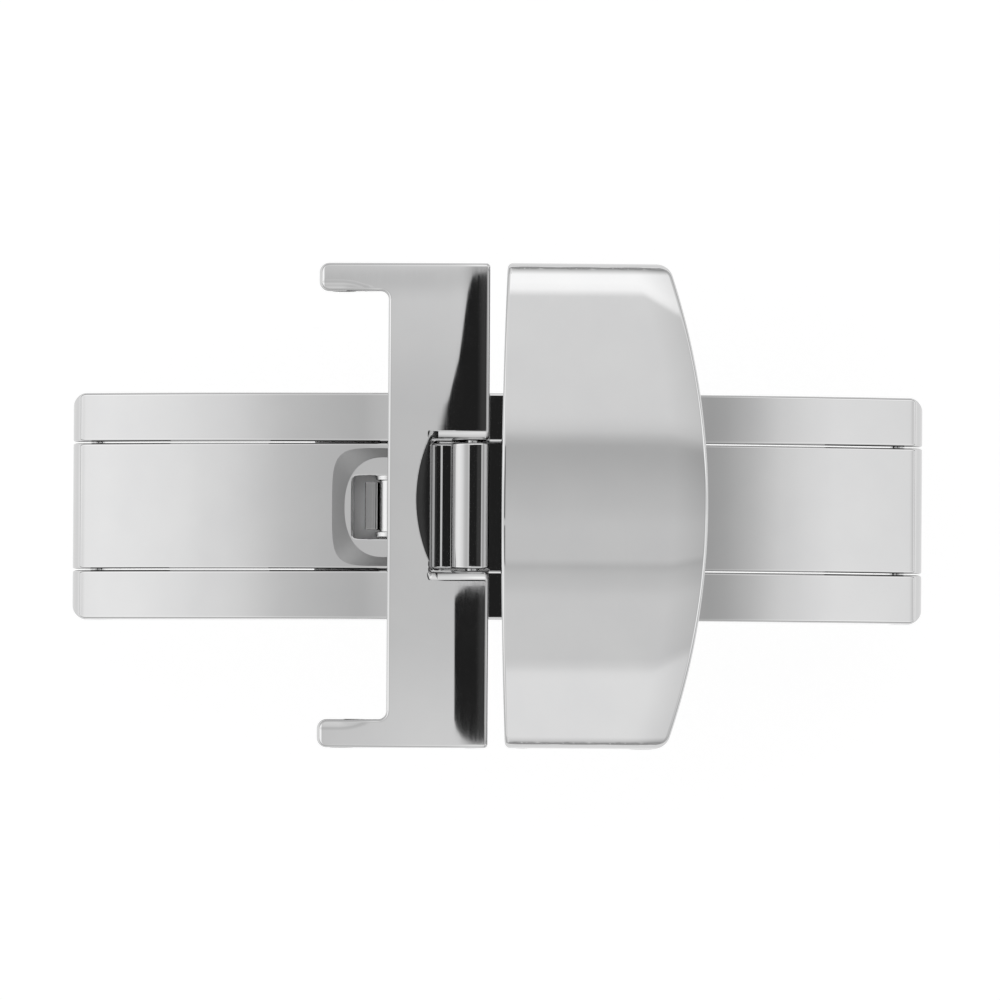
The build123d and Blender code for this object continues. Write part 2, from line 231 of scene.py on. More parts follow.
def combine(ob, other, operation="DIFFERENCE"):
    """Boolean of two closed meshes, applied, with the second one removed."""
    mod = ob.modifiers.new("boolean", "BOOLEAN")
    mod.operation = operation
    mod.solver = "EXACT"
    mod.object = other
    bpy.context.view_layer.update()
    result = ob.evaluated_get(bpy.context.evaluated_depsgraph_get())
    new = bpy.data.meshes.new_from_object(result)
    ob.modifiers.clear()
    old, spare = ob.data, other.data
    ob.data = new
    bpy.data.objects.remove(other)
    bpy.data.meshes.remove(old)
    bpy.data.meshes.remove(spare)
    finish_mesh(ob)


def crease(ob):
    """Sharp edges wherever two materials meet."""
    bm = bmesh.new()
    bm.from_mesh(ob.data)
    for edge in bm.edges:
        if len({face.material_index for face in edge.link_faces}) > 1:
            edge.smooth = False
    bm.to_mesh(ob.data)
    bm.free()


def right_way(ob):
    """Turn all faces of a closed mesh outward."""
    bm = bmesh.new()
    bm.from_mesh(ob.data)
    bmesh.ops.recalc_face_normals(bm, faces=bm.faces)
    bm.to_mesh(ob.data)
    bm.free()
    finish_mesh(ob)


def loft(rings, closed=False):
    """Points and faces between equal rings, closed round or with end caps."""
    verts = [p for ring in rings for p in ring]
    n = len(rings[0])
    faces = []
    for k in range(len(rings) if closed else len(rings) - 1):
        a, b = k * n, ((k + 1) % len(rings)) * n
        faces += [(a + i, a + (i + 1) % n, b + (i + 1) % n, b + i) for i in range(n)]
    if not closed:
        last = (len(rings) - 1) * n
        faces += [tuple(range(n))[::-1], tuple(range(last, last + n))]
    return verts, faces


def turned(name, profile, place, segments=64):
    """Closed line of radius and length turned about an axis placed by a matrix."""
    rings = []
    for s in range(segments):
        t = 2 * pi * s / segments
        rings.append([tuple(place @ Vector((r * cos(t), r * sin(t), h))) for r, h in profile])
    verts, faces = loft(rings, closed=True)
    return build(name, verts, [f[::-1] for f in faces])


def crosswise(point):
    """Matrix that lays a turned piece across the clasp through a point of the side view."""
    return Matrix.Translation((point[0], 0, point[1])) @ Matrix.Rotation(radians(-90), 4, "X")


def rod_profile(radius, half, edge):
    """Solid rod with rounded ends."""
    corners = [(HAIR, -half), (radius, -half), (radius, half), (HAIR, half)]
    return rounded(corners, [0, edge, edge, 0], 10)


def rod(name, point, radius, half, edge=0.02):
    return turned(name, rod_profile(radius, half, edge), crosswise(point))


def tube(name, point, outer, inner, half, edge=0.03):
    corners = [(inner, -half), (outer, -half), (outer, half), (inner, half)]
    return turned(name, rounded(corners, [edge] * 4, 10), crosswise(point))


def drill(ob, point, radius, half):
    """Bore across the clasp, cut by a rod that reaches beyond the piece."""
    combine(ob, rod("cut_bore", point, radius, half))


def bar(name, outline, y0, y1, r, trim=None, steps=6):
    """Side view carried across the clasp, with the edges of its two ends rounded by r.

    trim gives the ends at a place along the clasp where they aren't y0 and y1 all over.
    """
    outline = cleaned(outline)
    normals = outward(outline)
    quarter = [radians(90) * k / steps for k in range(steps + 1)]
    levels = [(False, r * (1 - cos(t)), r * (1 - sin(t))) for t in quarter]
    straight = r + 0.03
    levels += [(False, straight, 0), (True, straight, 0)]
    levels += [(True, r * (1 - cos(t)), r * (1 - sin(t))) for t in quarter[::-1]]
    rings = []
    for far, off, inset in levels:
        ring = []
        for p, normal in zip(outline, normals):
            near_y, far_y = trim(p[0], y0, y1) if trim else (y0, y1)
            y = far_y - off if far else near_y + off
            ring.append((p[0] - normal.x * inset, y, p[1] - normal.y * inset))
        rings.append(ring)
    verts, faces = loft(rings)
    return build(name, verts, [f[::-1] for f in faces])


def grid_inside(loop, grid, margin=0.03):
    """Points of a grid inside a plan outline, clear of its border."""
    rows = {}
    for x, y in grid:
        rows.setdefault(x, []).append(y)
    least, most = min(p[0] for p in loop), max(p[0] for p in loop)
    sides = list(zip(loop, loop[1:] + loop[:1]))
    out = []
    for x, ys in rows.items():
        if not least < x < most:
            continue
        cuts = sorted(a[1] + (b[1] - a[1]) * (x - a[0]) / (b[0] - a[0])
                      for a, b in sides if (a[0] > x) != (b[0] > x))
        for start, end in zip(cuts[::2], cuts[1::2]):
            out += [(x, y) for y in ys if start + margin < y < end - margin]
    return out


def slab(name, outline, top, low, edge, low_edge, grid, steps=6):
    """Plate between two height functions over a plan outline, with rounded edges."""
    outline = cleaned(outline)
    normals = outward(outline)
    n = len(outline)
    verts, faces, rings = [], [], []

    def ring(inset, height):
        start = len(verts)
        for p, normal in zip(outline, normals):
            x, y = p[0] - normal.x * inset, p[1] - normal.y * inset
            verts.append((x, y, height(x, y)))
        rings.append(list(range(start, len(verts))))

    for k in range(steps + 1):
        t = radians(90) * (1 - k / steps)
        ring(low_edge * (1 - cos(t)), lambda x, y: low(x, y) + low_edge * (1 - sin(t)))
    for k in range(steps + 1):
        t = radians(90) * k / steps
        ring(edge * (1 - cos(t)), lambda x, y: top(x, y) - edge * (1 - sin(t)))
    ring(edge + 0.02, top)  # on the top itself, so that the edge ends with its slope
    for a, b in zip(rings, rings[1:]):
        faces += [(a[i], a[(i + 1) % n], b[(i + 1) % n], b[i]) for i in range(n)]
    for border, height, flip in ((rings[0], low, True), (rings[-1], top, False)):
        loop = [verts[i][:2] for i in border]
        points = [Vector(p) for p in loop + grid_inside(loop, grid)]
        placed, _, triangles, sources, _, _ = delaunay_2d_cdt(points, [], [list(range(n))], 1, 1e-7)
        index = []
        for p, source in zip(placed, sources):
            on_loop = [s for s in source if s < n]
            if on_loop:
                index.append(border[on_loop[0]])
            else:
                index.append(len(verts))
                verts.append((p.x, p.y, height(p.x, p.y)))
        for triangle in triangles:
            face = tuple(index[i] for i in triangle)
            faces.append(face[::-1] if flip else face)
    return build(name, verts, faces)


# ---------------------------------------------------------------- strap link
LUG_X = 7.55
LUG_END_R = 1.05
BODY_X = 4.63
NOTCH_X = 2.77
NOSE_X = INNER[0] + KNUCKLE
CROWN_R = 209.0  # the very slight crown across

# Its top in the side view: two arcs that meet with one slope at TURN_X.
TURN_X = -2.1
TURN_SLOPE = radians(4.6)
FRONT_R = 14.0
FRONT_CX = TURN_X + FRONT_R * sin(TURN_SLOPE)
FRONT_CZ = INNER[1] + 1.1 - FRONT_R
REAR_R = 90.0
REAR_CX = TURN_X + REAR_R * sin(TURN_SLOPE)
REAR_CZ = FRONT_CZ + (FRONT_R - REAR_R) * cos(TURN_SLOPE)

# Rounded upper edges: nose, lug tips, the cheeks beside the notch.
NOSE_R = 0.02
TIP_R = 0.25
CHEEK_R = 0.42
CHEEK_FADE = 0.12

# Bevel inside each lug: where it starts, its run to full width, its width and its bend.
BEVEL_X = -5.0
BEVEL_RUN = 1.6
BEVEL_WIDE = 0.45
BEVEL_BEND = 0.45


def link_arc(x):
    if x > TURN_X:
        return FRONT_CZ + sqrt(FRONT_R**2 - (x - FRONT_CX) ** 2)
    return REAR_CZ + sqrt(REAR_R**2 - (x - REAR_CX) ** 2)


# Spring bar hole in the lugs.
BAR = (LUG_END_R - LUG_X, link_arc(LUG_END_R - LUG_X) - LUG_END_R)

# Crescent recess on the left of the notch: a shallow disc, a little off the middle line.
SCALLOP_R = 6.5
SCALLOP_HALF = 3.12
SCALLOP_X = SCALLOP_R - 0.68 - NOTCH_X
SCALLOP_Y = 0.28
SCALLOP_Z = link_arc(-NOTCH_X - 0.63) - 0.08


def round_drop(d, r):
    """Fall of a surface next to an edge of radius r, at distance d from that edge."""
    if d >= r:
        return 0.0
    return r - sqrt(max(0.0, r * r - (r - max(d, 0.0)) ** 2))


def link_top(x, y):
    z = link_arc(x) + sqrt(CROWN_R**2 - y * y) - CROWN_R
    z -= round_drop(NOSE_X - x, NOSE_R)
    z -= round_drop(x + LUG_X, TIP_R)
    if x < BEVEL_X and abs(y) > STRAP_HALF:
        wide = BEVEL_WIDE * sin(min(1, (BEVEL_X - x) / BEVEL_RUN) * pi / 2)
        z -= max(0, STRAP_HALF + wide - abs(y)) ** 2 * BEVEL_BEND
    if x > -NOTCH_X - CHEEK_FADE:
        fade = min(1, (x + NOTCH_X + CHEEK_FADE) / CHEEK_FADE)
        z -= fade * round_drop(abs(y) - NOTCH_HALF, CHEEK_R)
    return z


def link_low(x, y):
    if x > INNER[0]:
        return INNER[1] - sqrt(max(0, KNUCKLE**2 - min(x - INNER[0], KNUCKLE) ** 2))
    if x > -BODY_X:
        return arch_z(RIDE_RADIUS, x)
    body_z = arch_z(RIDE_RADIUS, BODY_X)
    if x > BAR[0]:
        return body_z + (BAR[1] - LUG_END_R - body_z) * (x + BODY_X) / (BAR[0] + BODY_X)
    return BAR[1] - sqrt(max(0, LUG_END_R**2 - min(BAR[0] - x, LUG_END_R) ** 2))


def make_link():
    corners = [
        (NOSE_X, -HALF_WIDTH), (NOSE_X, -NOTCH_HALF), (-NOTCH_X, -NOTCH_HALF),
        (-NOTCH_X, NOTCH_HALF), (NOSE_X, NOTCH_HALF), (NOSE_X, HALF_WIDTH),
        (-LUG_X, HALF_WIDTH), (-LUG_X, STRAP_HALF), (-BODY_X, STRAP_HALF),
        (-BODY_X, -STRAP_HALF), (-LUG_X, -STRAP_HALF), (-LUG_X, -HALF_WIDTH),
    ]
    radii = [0.16, 0.2, 0.22, 0.22, 0.2, 0.16, 0.42, 0.42, 0.34, 0.34, 0.42, 0.42]
    xs = lines((-LUG_X + 0.007, -LUG_X + 0.3, 0.03), (-LUG_X + 0.3, -3.5, 0.16),
               (-3.5, -2.7, 0.05), (-2.7, NOSE_X - 0.25, 0.08), (NOSE_X - 0.25, NOSE_X, 0.012))
    ys = lines((0, 2.3, 0.12), (2.3, 3.4, 0.035), (3.4, 9.0, 0.25), (9.0, 10.2, 0.06))
    ob = slab("strap_link_body", rounded(corners, radii, 0.1), link_top, link_low,
              0.13, 0.1, both_sides(xs, ys))
    disc = rounded([(HAIR, 0), (SCALLOP_R, 0), (SCALLOP_R, 1), (HAIR, 1)], [0, 0.03, 0, 0], 10)
    place = Matrix.Translation((SCALLOP_X, SCALLOP_Y, SCALLOP_Z))
    scallop = turned("cut_scallop", disc, place, 900)
    room = [(-5, 5), (-2.5, 5), (-2.5, 10), (-5, 10)]
    combine(scallop, bar("cut_room", room, -SCALLOP_HALF, SCALLOP_HALF, 0.01, steps=1),
            "INTERSECT")
    combine(ob, scallop)
    drill(ob, INNER, INNER_PIN_R, 12)
    drill(ob, BAR, BAR_HOLE_R, 12)
    return ob


# ---------------------------------------------------------------- cover
COVER_X = 0.17
COVER_END = 8.86
COVER_Z = arch_z(TOP_RADIUS, 0) + 3.9
TILT = radians(5)
PLATE = 0.9
POCKET_X = INNER_X + KNUCKLE

# Crown across the cover, with rounded shoulders at its two ends.
CROWN = 50.55
SHOULDER = 0.6
SHOULDER_C = -CROWN + sqrt((CROWN - SHOULDER) ** 2 - (HALF_WIDTH - SHOULDER) ** 2)
SHOULDER_Y = (HALF_WIDTH - SHOULDER) * CROWN / (CROWN - SHOULDER)

# Long edges and corners in plan.
LEFT_R = 250.0
LEFT_CORNER = 0.24
RIGHT_R = 31.0
RIGHT_CORNER = 0.75

# The top falls a little towards its right edge.
FALL = 0.05
FALL_WIDE = 1.4

# The underside follows the arch as far as WALL_X and then turns up.
WALL_X = 7.5
WALL_CORNER = 1.4

COVER_BAR = (6.1, arch_z(TOP_RADIUS, 6.1) + 1.4)


def crown(y):
    y = min(abs(y), HALF_WIDTH)
    if y < SHOULDER_Y:
        return sqrt(CROWN**2 - y * y) - CROWN
    return SHOULDER_C + sqrt(max(0, SHOULDER**2 - (y - HALF_WIDTH + SHOULDER) ** 2))


def cover_face(x, y):
    """The cover's crowned face, before the fall at its right edge."""
    return COVER_Z - (x - COVER_X) * tan(TILT) + crown(y) / cos(TILT)


def cover_top(x, y):
    z = cover_face(x, y)
    from_edge = max(0.0, RIGHT_R - hypot(x - COVER_END + RIGHT_R, y))
    if from_edge < FALL_WIDE:
        z -= FALL * (1 - from_edge / FALL_WIDE) ** 2
    return z


def cover_low(x, y):
    if x < INNER_X:
        reach = INNER_X - COVER_X
        return INNER[1] - sqrt(max(0, 1 - (min(INNER_X - x, reach) / reach) ** 2)) * KNUCKLE
    z = arch_z(RIDE_RADIUS, min(x, WALL_X))
    past = min(x, WALL_X) - (WALL_X - WALL_CORNER)
    if past > 0:
        z += WALL_CORNER - sqrt(max(0, WALL_CORNER**2 - past**2))
    return min(z, cover_top(x, y) - PLATE)


def cover_left(y):
    return COVER_X + LEFT_R - sqrt(LEFT_R**2 - y * y)


def cover_right(y):
    return COVER_END - RIGHT_R + sqrt(RIGHT_R**2 - y * y)


def left_corner():
    """Rounded corner between the cover's left edge and its far end."""
    r = LEFT_CORNER
    y = HALF_WIDTH - r
    x = cover_left(y) + r
    return [(x + r * cos(t), y + r * sin(t)) for t in (pi / 2 + pi / 2 * k / 8 for k in range(9))]


def right_corner():
    """Rounded corner between the cover's far end and its right edge."""
    r = RIGHT_CORNER
    y = HALF_WIDTH - r
    x = COVER_END - RIGHT_R + sqrt((RIGHT_R - r) ** 2 - y**2)
    lean = atan2(y, x - COVER_END + RIGHT_R)
    turn = [pi / 2 + (lean - pi / 2) * k / 10 for k in range(11)]
    return [(x + r * cos(t), y + r * sin(t)) for t in turn]


def near(points):
    """The same corner at the near end."""
    return [(x, -y) for x, y in points]


def make_cover():
    half = HALF_WIDTH
    ys = lines((-half, half, 0.2))
    # Each edge stops short of the rounded corners beside it.
    outline = left_corner()
    outline += [(cover_left(y), y) for y in ys[::-1] if abs(y) < half - LEFT_CORNER - 0.05]
    outline += near(left_corner()[::-1]) + [(cover_right(half) - 1.2, -half)]
    outline += near(right_corner())
    outline += [(cover_right(y), y) for y in ys if abs(y) < half - 0.62]
    outline += right_corner()[::-1] + [(cover_right(half) - 1.2, half)]
    grid = both_sides(lines((COVER_X, 0.64, 0.024), (0.64, 6.3, 0.22), (6.3, 8.9, 0.1)),
                      lines((0, 9.3, 0.22), (9.3, 10.21, 0.037)))
    ob = slab("cover_body", divided(cleaned(outline), 0.2), cover_top, cover_low,
              0.14, 0.1, grid)
    room = rounded([(POCKET_X, -STRAP_HALF), (COVER_END + 1, -STRAP_HALF),
                    (COVER_END + 1, STRAP_HALF), (POCKET_X, STRAP_HALF)], [0.3, 0, 0, 0.3], 0.3)
    room_grid = [(x, y) for x in lines((1.8, 9.9, 0.4)) for y in lines((-9, 9, 0.4))]
    combine(ob, slab("cut_room", room, lambda x, y: cover_face(x, y) - PLATE,
                     lambda x, y: 0.0, 0.12, 0.1, room_grid, 4))
    roof = INNER[1] + KNUCKLE + 0.1
    pocket = rounded([(-1, 5), (POCKET_X + 1, 5), (POCKET_X + 1, roof), (-1, roof)],
                     [0, 0, 0.2, 0], 0.5)
    combine(ob, bar("cut_pocket", pocket, -NOTCH_HALF, NOTCH_HALF, 0.02))
    drill(ob, on_side(INNER, 1), INNER_PIN_R, 12)
    drill(ob, COVER_BAR, BAR_HOLE_R, 12)
    return ob


# ---------------------------------------------------------------- base frame
PLAN_CORNER = 0.5
RAIL_EDGE = 0.1
BRIDGE_X = 7.6
BRIDGE_THICK = 0.5
BRIDGE_HALF = SLOT_HALF + 0.2  # it reaches into the rails


def end_trim(x, y0, y1):
    """Ends of a rail, with the frame's four outer corners rounded in plan."""
    past = abs(x) - (CLASP_HALF - PLAN_CORNER)
    cut = PLAN_CORNER - sqrt(max(0, PLAN_CORNER**2 - past**2)) if past > 0 else 0
    return (y0 + cut, y1) if y0 < 0 else (y0, y1 - cut)


def catch_matrix(sign):
    """Axes of the left catch, or of the right one when sign is 1: x along the arm, z outward."""
    a = ROLLER_ANGLE * sign
    x_dir, z_dir = Vector((cos(a), 0, -sin(a))), Vector((sin(a), 0, cos(a)))
    m = Matrix.Identity(4)
    for i, v in enumerate((x_dir, z_dir.cross(x_dir), z_dir)):
        m[0][i], m[1][i], m[2][i] = v
    m[0][3], m[2][3] = on_side(ROLLER, sign)
    return m


def make_base():
    end, half = END_ANGLE, THICK / 2
    side = arch_run(TOP_RADIUS, -end, end)[::-1]
    side += arc(END, half, pi / 2 + end, 3 * pi / 2 + end)[1:-1]
    side += arch_run(LOW_RADIUS, -end, end)
    side += arc(on_side(END, 1), half, -pi / 2 - end, pi / 2 - end)[1:-1]
    ob = bar("base_frame_body", side, SLOT_HALF, FRAME_HALF, RAIL_EDGE, end_trim)
    reach = asin(BRIDGE_X / LOW_RADIUS)
    bridge = arch_run(LOW_RADIUS, -reach, reach)
    bridge += arch_run(LOW_RADIUS + BRIDGE_THICK, reach, -reach)
    combine(ob, bar("bridge", bridge, -BRIDGE_HALF, BRIDGE_HALF, HAIR, steps=1), "UNION")
    combine(ob, bar("rail", side, -FRAME_HALF, -SLOT_HALF, RAIL_EDGE, end_trim), "UNION")
    rivet_z = ROLLER_DEPTH - THICK + BRIDGE_THICK / 2
    for sign in (-1, 1):
        drill(ob, (sign * END[0], END[1]), END_PIN_R, 6)
        for y in (-RIVET_Y, RIVET_Y):
            hole = catch_matrix(sign) @ Matrix.Translation((0, y, rivet_z))
            combine(ob, turned("cut_rivet", rod_profile(RIVET_R, 0.5, 0.01), hole, 32))
    return ob


# ---------------------------------------------------------------- arms
ARM_THICK = 1.05
ARM_EDGE = 0.08
HOLLOW = 0.05  # radius between the arm and the wall of its inner barrel

# Left inner barrel: a nearly level cap between two shoulders.
BARREL_TOP = 0.7
CAP_SHIFT = 0.16
CAP_R = 3.3
CAP_ANGLE = radians(4.7)
LEFT_SHOULDER = 1.145
LEFT_LIP = 0.05
LEFT_LEAN = radians(135)

# Fine raised line across the arm beside that barrel: place along the clasp and height. The
# arch's own points end at FINE_FROM.
FINE_FROM = -2.6
FINE_LINE = [(-2.41, 0), (-2.395, 0.0003), (-2.38, 0.0009), (-2.36, 0.0018), (-2.34, 0.0027),
             (-2.325, 0.0032), (-2.31, 0.0034), (-2.15, 0.0017)]

# Dish around the window: its middle, its depth, and its outlines for oval().
DISH_X = 4.75
DISH_Y = -0.05
DISH_DEPTH = 0.35
DISH_RIM = (6.97, 2.95, 2.45, 5)
DISH_FLOOR = (6.4, 3.05, 2.1, 2.3)
WINDOW = (6.07, 3.25, 1.33, 14)
WINDOW_EDGE = 0.05


# Spans along the clasp where the rounded edges of the gap between arms and rails get painted shade,
# a near-black colour.
GAP_SHADE_SPANS = ((-17.2, -13.9), (-9.6, -5.05), (13.9, 17.2))


def in_gap_shade_span(x):
    return any(start < x < end for start, end in GAP_SHADE_SPANS)


def barrel_top():
    """Upper side of the left inner barrel, from its left wall to its right wall."""
    cap = (INNER[0] + CAP_SHIFT, INNER[1] + BARREL_TOP - CAP_R)

    def from_cap(angle, radius):
        return (cap[0] + radius * cos(angle), cap[1] + radius * sin(angle))

    cap_left, cap_right = pi / 2 + CAP_ANGLE, pi / 2 - CAP_ANGLE
    left = from_cap(cap_left, CAP_R - LEFT_SHOULDER)
    to_lip = LEFT_SHOULDER - LEFT_LIP
    lip = (left[0] + to_lip * cos(LEFT_LEAN), left[1] + to_lip * sin(LEFT_LEAN))
    run = INNER[0] + KNUCKLE - cap[0] - CAP_R * sin(CAP_ANGLE)
    right_shoulder = run / (1 - sin(CAP_ANGLE))
    right = from_cap(cap_right, CAP_R - right_shoulder)
    line = arc(lip, LEFT_LIP, pi, LEFT_LEAN, 0.01)
    line += arc(left, LEFT_SHOULDER, LEFT_LEAN, cap_left, 0.04)[1:]
    line += arc(cap, CAP_R, cap_left, cap_right, 0.06)[1:]
    return line + arc(right, right_shoulder, cap_right, 0, 0.04)[1:]


def arm_outline(sign):
    """Side view of an arm, drawn on the left side for both."""
    under = TOP_RADIUS - ARM_THICK
    barrel = arc(INNER, KNUCKLE, pi, 0, 0.05) if sign > 0 else barrel_top()
    wall_x = barrel[0][0]
    hollow = (wall_x - HOLLOW, arch_z(TOP_RADIUS, wall_x - HOLLOW) + HOLLOW)
    side = arch_run(TOP_RADIUS, -END_ANGLE, asin(FINE_FROM / TOP_RADIUS))
    side += [(x, arch_z(TOP_RADIUS, x) + rise) for x, rise in FINE_LINE]
    side += arc(hollow, HOLLOW, -pi / 2, 0, 0.02)
    side += divided([side[-1], barrel[0]], 0.2, False)[1:-1] + barrel
    right = INNER[0] + KNUCKLE
    side += divided([barrel[-1], (right, arch_z(under, right))], 0.2, False)[1:]
    # The underside stops short of the end barrel, so that they join without a fold.
    side += arch_run(under, asin(right / under), -END_ANGLE + 0.03)[1:]
    side += arc(END, THICK / 2, END_ANGLE - 0.015, -pi * 3 / 2 + END_ANGLE, 0.05)[1:-1]
    return side


def oval(left, right, half, power, count=144):
    """Outline about the middle of the dish, between an ellipse and a rectangle.

    left and right are its ends, measured from the clasp's middle.
    """
    out = []
    for k in range(count):
        t = 2 * pi * k / count
        c, s = cos(t), sin(t)
        reach = DISH_X - right if c > 0 else left - DISH_X
        r = (abs(c / reach) ** power + abs(s / half) ** power) ** (-1 / power)
        out.append((r * c, r * s))
    return out


def dish_rings(sign):
    """Rings of the cutter that makes the dish and the window, from far above to far below."""
    rim, floor, window = oval(*DISH_RIM), oval(*DISH_FLOOR), oval(*WINDOW)
    top, lip = ROLLER_DEPTH, 0.04
    low = top - DISH_DEPTH
    rings = []

    def wall(f, z):
        """Ring between the rim, f = 0, and the floor's outline, f = 1."""
        rings.append([(p[0] + (q[0] - p[0]) * f, p[1] + (q[1] - p[1]) * f, z)
                      for p, q in zip(rim, floor)])

    def hole(z, grow=0.0):
        rings.append([(x * (1 + grow / hypot(x, y)), y * (1 + grow / hypot(x, y)), z)
                      for x, y in window])

    wall(-0.4, top + 1.5)  # well above the arm
    wall(-0.4, top + 0.12)
    wall(0.0, top - lip)
    wall(0.5, top - lip - (DISH_DEPTH - lip) / 2)
    wall(1.0, low)
    wall(1.03, low)
    hole(low, 0.08)
    for t in (0, 22, 45, 67, 90):
        turn = radians(t)
        hole(low - WINDOW_EDGE * (1 - cos(turn)), WINDOW_EDGE * (1 - sin(turn)))
    hole(top - 2.5)  # well below it
    m = catch_matrix(sign)
    shift = ROLLER_X - DISH_X
    stretch = 1 / cos(ROLLER_ANGLE)
    return [[tuple(m @ Vector((-sign * (x + shift) * stretch, y + DISH_Y, z))) for x, y, z in ring]
            for ring in rings]


def make_arm(sign):
    """Left arm, or the right arm when sign is 1, with painted shade on its dish's sloping wall and
    on its edge along the gap.
    """
    outline = [on_side(p, sign) for p in arm_outline(sign)]
    arm = bar("right_arm_body" if sign > 0 else "left_arm_body",
              outline, -ARM_HALF, ARM_HALF, ARM_EDGE)
    cutter = build("cut_dish", *loft(dish_rings(sign)))
    right_way(cutter)
    combine(arm, cutter)
    for point, r in ((END, END_TUBE_R), (INNER, INNER_TUBE_R), (ROLLER, ROLLER_PIN_R)):
        drill(arm, on_side(point, sign), r, 4)
    finish_mesh(arm, 22)
    dress(arm, polished, shaded_matte, gap_shade)
    back = catch_matrix(sign).inverted()
    floor_z = ROLLER_DEPTH - DISH_DEPTH
    for face in arm.data.polygons:
        c = back @ (face.center / MM)
        n = back.to_3x3() @ face.normal
        # Painted shade on the rounded edge along the gap, and then on the sloping wall of the dish.
        long_edge = abs(c.y) > ARM_HALF - 0.1 and 0.5 < abs(n.y) < 0.98
        if long_edge and in_gap_shade_span(face.center.x / MM):
            face.material_index = 2
        in_dish = abs(c.x) < 2.6 and abs(c.y) < 2.56 and c.z > floor_z + 0.005
        if in_dish and 0.2 < n.z < 0.985 and hypot(c.x, c.y) > 1.3:
            face.material_index = 1
    crease(arm)
    weigh(arm)
    return arm


# ---------------------------------------------------------------- small pieces
ROLLER_HALF = 1.3
FLANGE_R = 0.68
SPOOL_R = 0.5
FLANGE = 0.21
ROLLER_BORE = 0.22

# Leaf clip in the catch's own axes: half gap between its leaves, foot, strip, half width.
GRIP = 0.59
FOOT = 0.86
STRIP_HALF = 0.06
CLIP_HALF = 1.0

# Rivet head and shank: radius, and height above the clip's foot.
RIVET_Z = -0.8
RIVET_PROFILE = [(HAIR, -0.6), (RIVET_R, -0.6), (RIVET_R, 0), (0.34, 0), (0.36, 0.02),
                 (0.35, 0.05), (0.28, 0.08), (0.15, 0.098), (HAIR, 0.1)]


def make_roller(sign):
    inner = ROLLER_HALF - FLANGE
    profile = [(ROLLER_BORE, -ROLLER_HALF), (FLANGE_R, -ROLLER_HALF), (FLANGE_R, -inner),
               (SPOOL_R, -inner), (SPOOL_R, inner), (FLANGE_R, inner),
               (FLANGE_R, ROLLER_HALF), (ROLLER_BORE, ROLLER_HALF)]
    return turned("right_roller" if sign > 0 else "left_roller", rounded(profile, [0.03] * 8, 10),
                  crosswise(on_side(ROLLER, sign)), 96)


def make_spring(sign):
    """U-shaped leaf clip with rounded bends and its two lips turned out."""
    waist = GRIP * tan(radians(22.5))
    leaf = [(-1.0, 0.56), (-0.75, 0.46), (-0.47, 0.38), (-GRIP, waist), (-GRIP, -FOOT)]
    bends = [0, 0.1, 0.12, 0.1, 0.16]
    route = rounded(leaf + [(-x, z) for x, z in leaf[::-1]], bends + bends[::-1], 0.1, False)
    path = [Vector(p) for p in spaced(route, 1e-4)]
    left, right = [], []
    for i, p in enumerate(path):
        ahead = (path[min(i + 1, len(path) - 1)] - path[max(i - 1, 0)]).normalized()
        out = Vector((-ahead.y, ahead.x)) * STRIP_HALF
        left.append(p + out)
        right.append(p - out)
    m = catch_matrix(sign)
    outline = [m @ Vector((p.x, 0, p.y)) for p in left + right[::-1]]
    return bar("right_spring_clip" if sign > 0 else "left_spring_clip",
               [(p.x, p.z) for p in outline], -CLIP_HALF, CLIP_HALF, 0.03, steps=4)


def make_rivets():
    """Four domed rivet heads on their shanks, as one mesh."""
    verts, faces = [], []
    for sign in (-1, 1):
        for y in (-RIVET_Y, RIVET_Y):
            m = catch_matrix(sign) @ Matrix.Translation((0, y, 0))
            rings = [[tuple(m @ Vector((r * cos(t), r * sin(t), RIVET_Z + h)))
                      for r, h in RIVET_PROFILE] for t in (2 * pi * k / 40 for k in range(40))]
            ring_verts, ring_faces = loft(rings, closed=True)
            faces += [tuple(i + len(verts) for i in face[::-1]) for face in ring_faces]
            verts += ring_verts
    return build("rivet_heads", verts, faces)


# ---------------------------------------------------------------- materials
def math_in(nt):
    """Maker of math nodes in a node tree; an input is a number or another node's output."""
    def math(operation, *inputs):
        node = nt.nodes.new("ShaderNodeMath")
        node.operation = operation
        for socket, value in zip(node.inputs, inputs):
            if isinstance(value, (int, float)):
                socket.default_value = value
            else:
                nt.links.new(value, socket)
        return node.outputs[0]
    return math


CLOUDS_PER_METRE = 420
HAIRS_PER_METRE = 9000
HAIR_DEPTH = 0.00001


